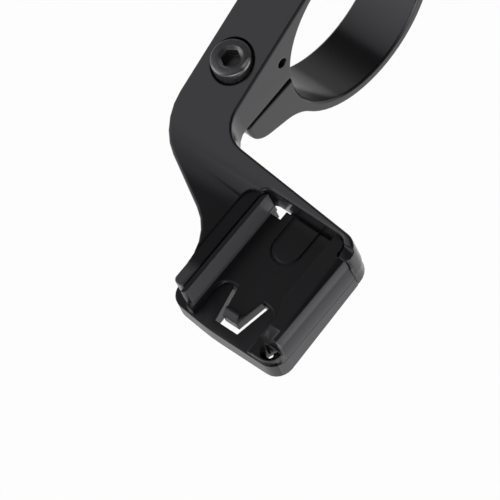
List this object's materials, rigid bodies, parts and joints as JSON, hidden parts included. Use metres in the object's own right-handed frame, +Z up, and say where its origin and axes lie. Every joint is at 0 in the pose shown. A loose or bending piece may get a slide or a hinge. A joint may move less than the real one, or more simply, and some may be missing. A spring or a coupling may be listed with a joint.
{
  "type": "bike computer mount",
  "caption": "Out-front mount: a split clamp for a handlebar, a flat arm that sweeps to one side, and a slide-in cradle with a spring tongue for a bike computer.",
  "frame": {"origin": "centre of the handlebar bore, midway across the clamp's width", "axes": "+X along the handlebar, towards the side that the cradle is on; -Y forward, to the cradle; +Z up, the side on which the computer sits"},
  "size_m": [0.0419, 0.0795, 0.0354],
  "materials": {
    "anodised": "satin black anodised",
    "moulded": "fine moulded black",
    "oxide": "black oxide"
  },
  "bodies": {
    "bracket": {"bracket_arm": "anodised", "cradle_tray": "moulded", "hinge_pin": "oxide", "tray_screw_rear": "oxide", "tray_screw_front": "oxide"},
    "jaw": {"clamp_jaw": "anodised"},
    "bolt": {"clamp_screw": "oxide"}
  },
  "joints": [
    {"name": "jaw_swing", "type": "hinge", "parent": "bracket", "child": "jaw", "pos_m": [0, 0.0192, 0], "axis": [1, 0, 0], "range_deg": [0, 60]},
    {"name": "screw_lift", "type": "slide", "parent": "bracket", "child": "bolt", "axis": [0, 0, 1], "range_m": [0, 0.015]}
  ],
  "couplings": [
    {"joint": "screw_lift", "follows": "jaw_swing", "m_per_rad": 0.0134}
  ]
}
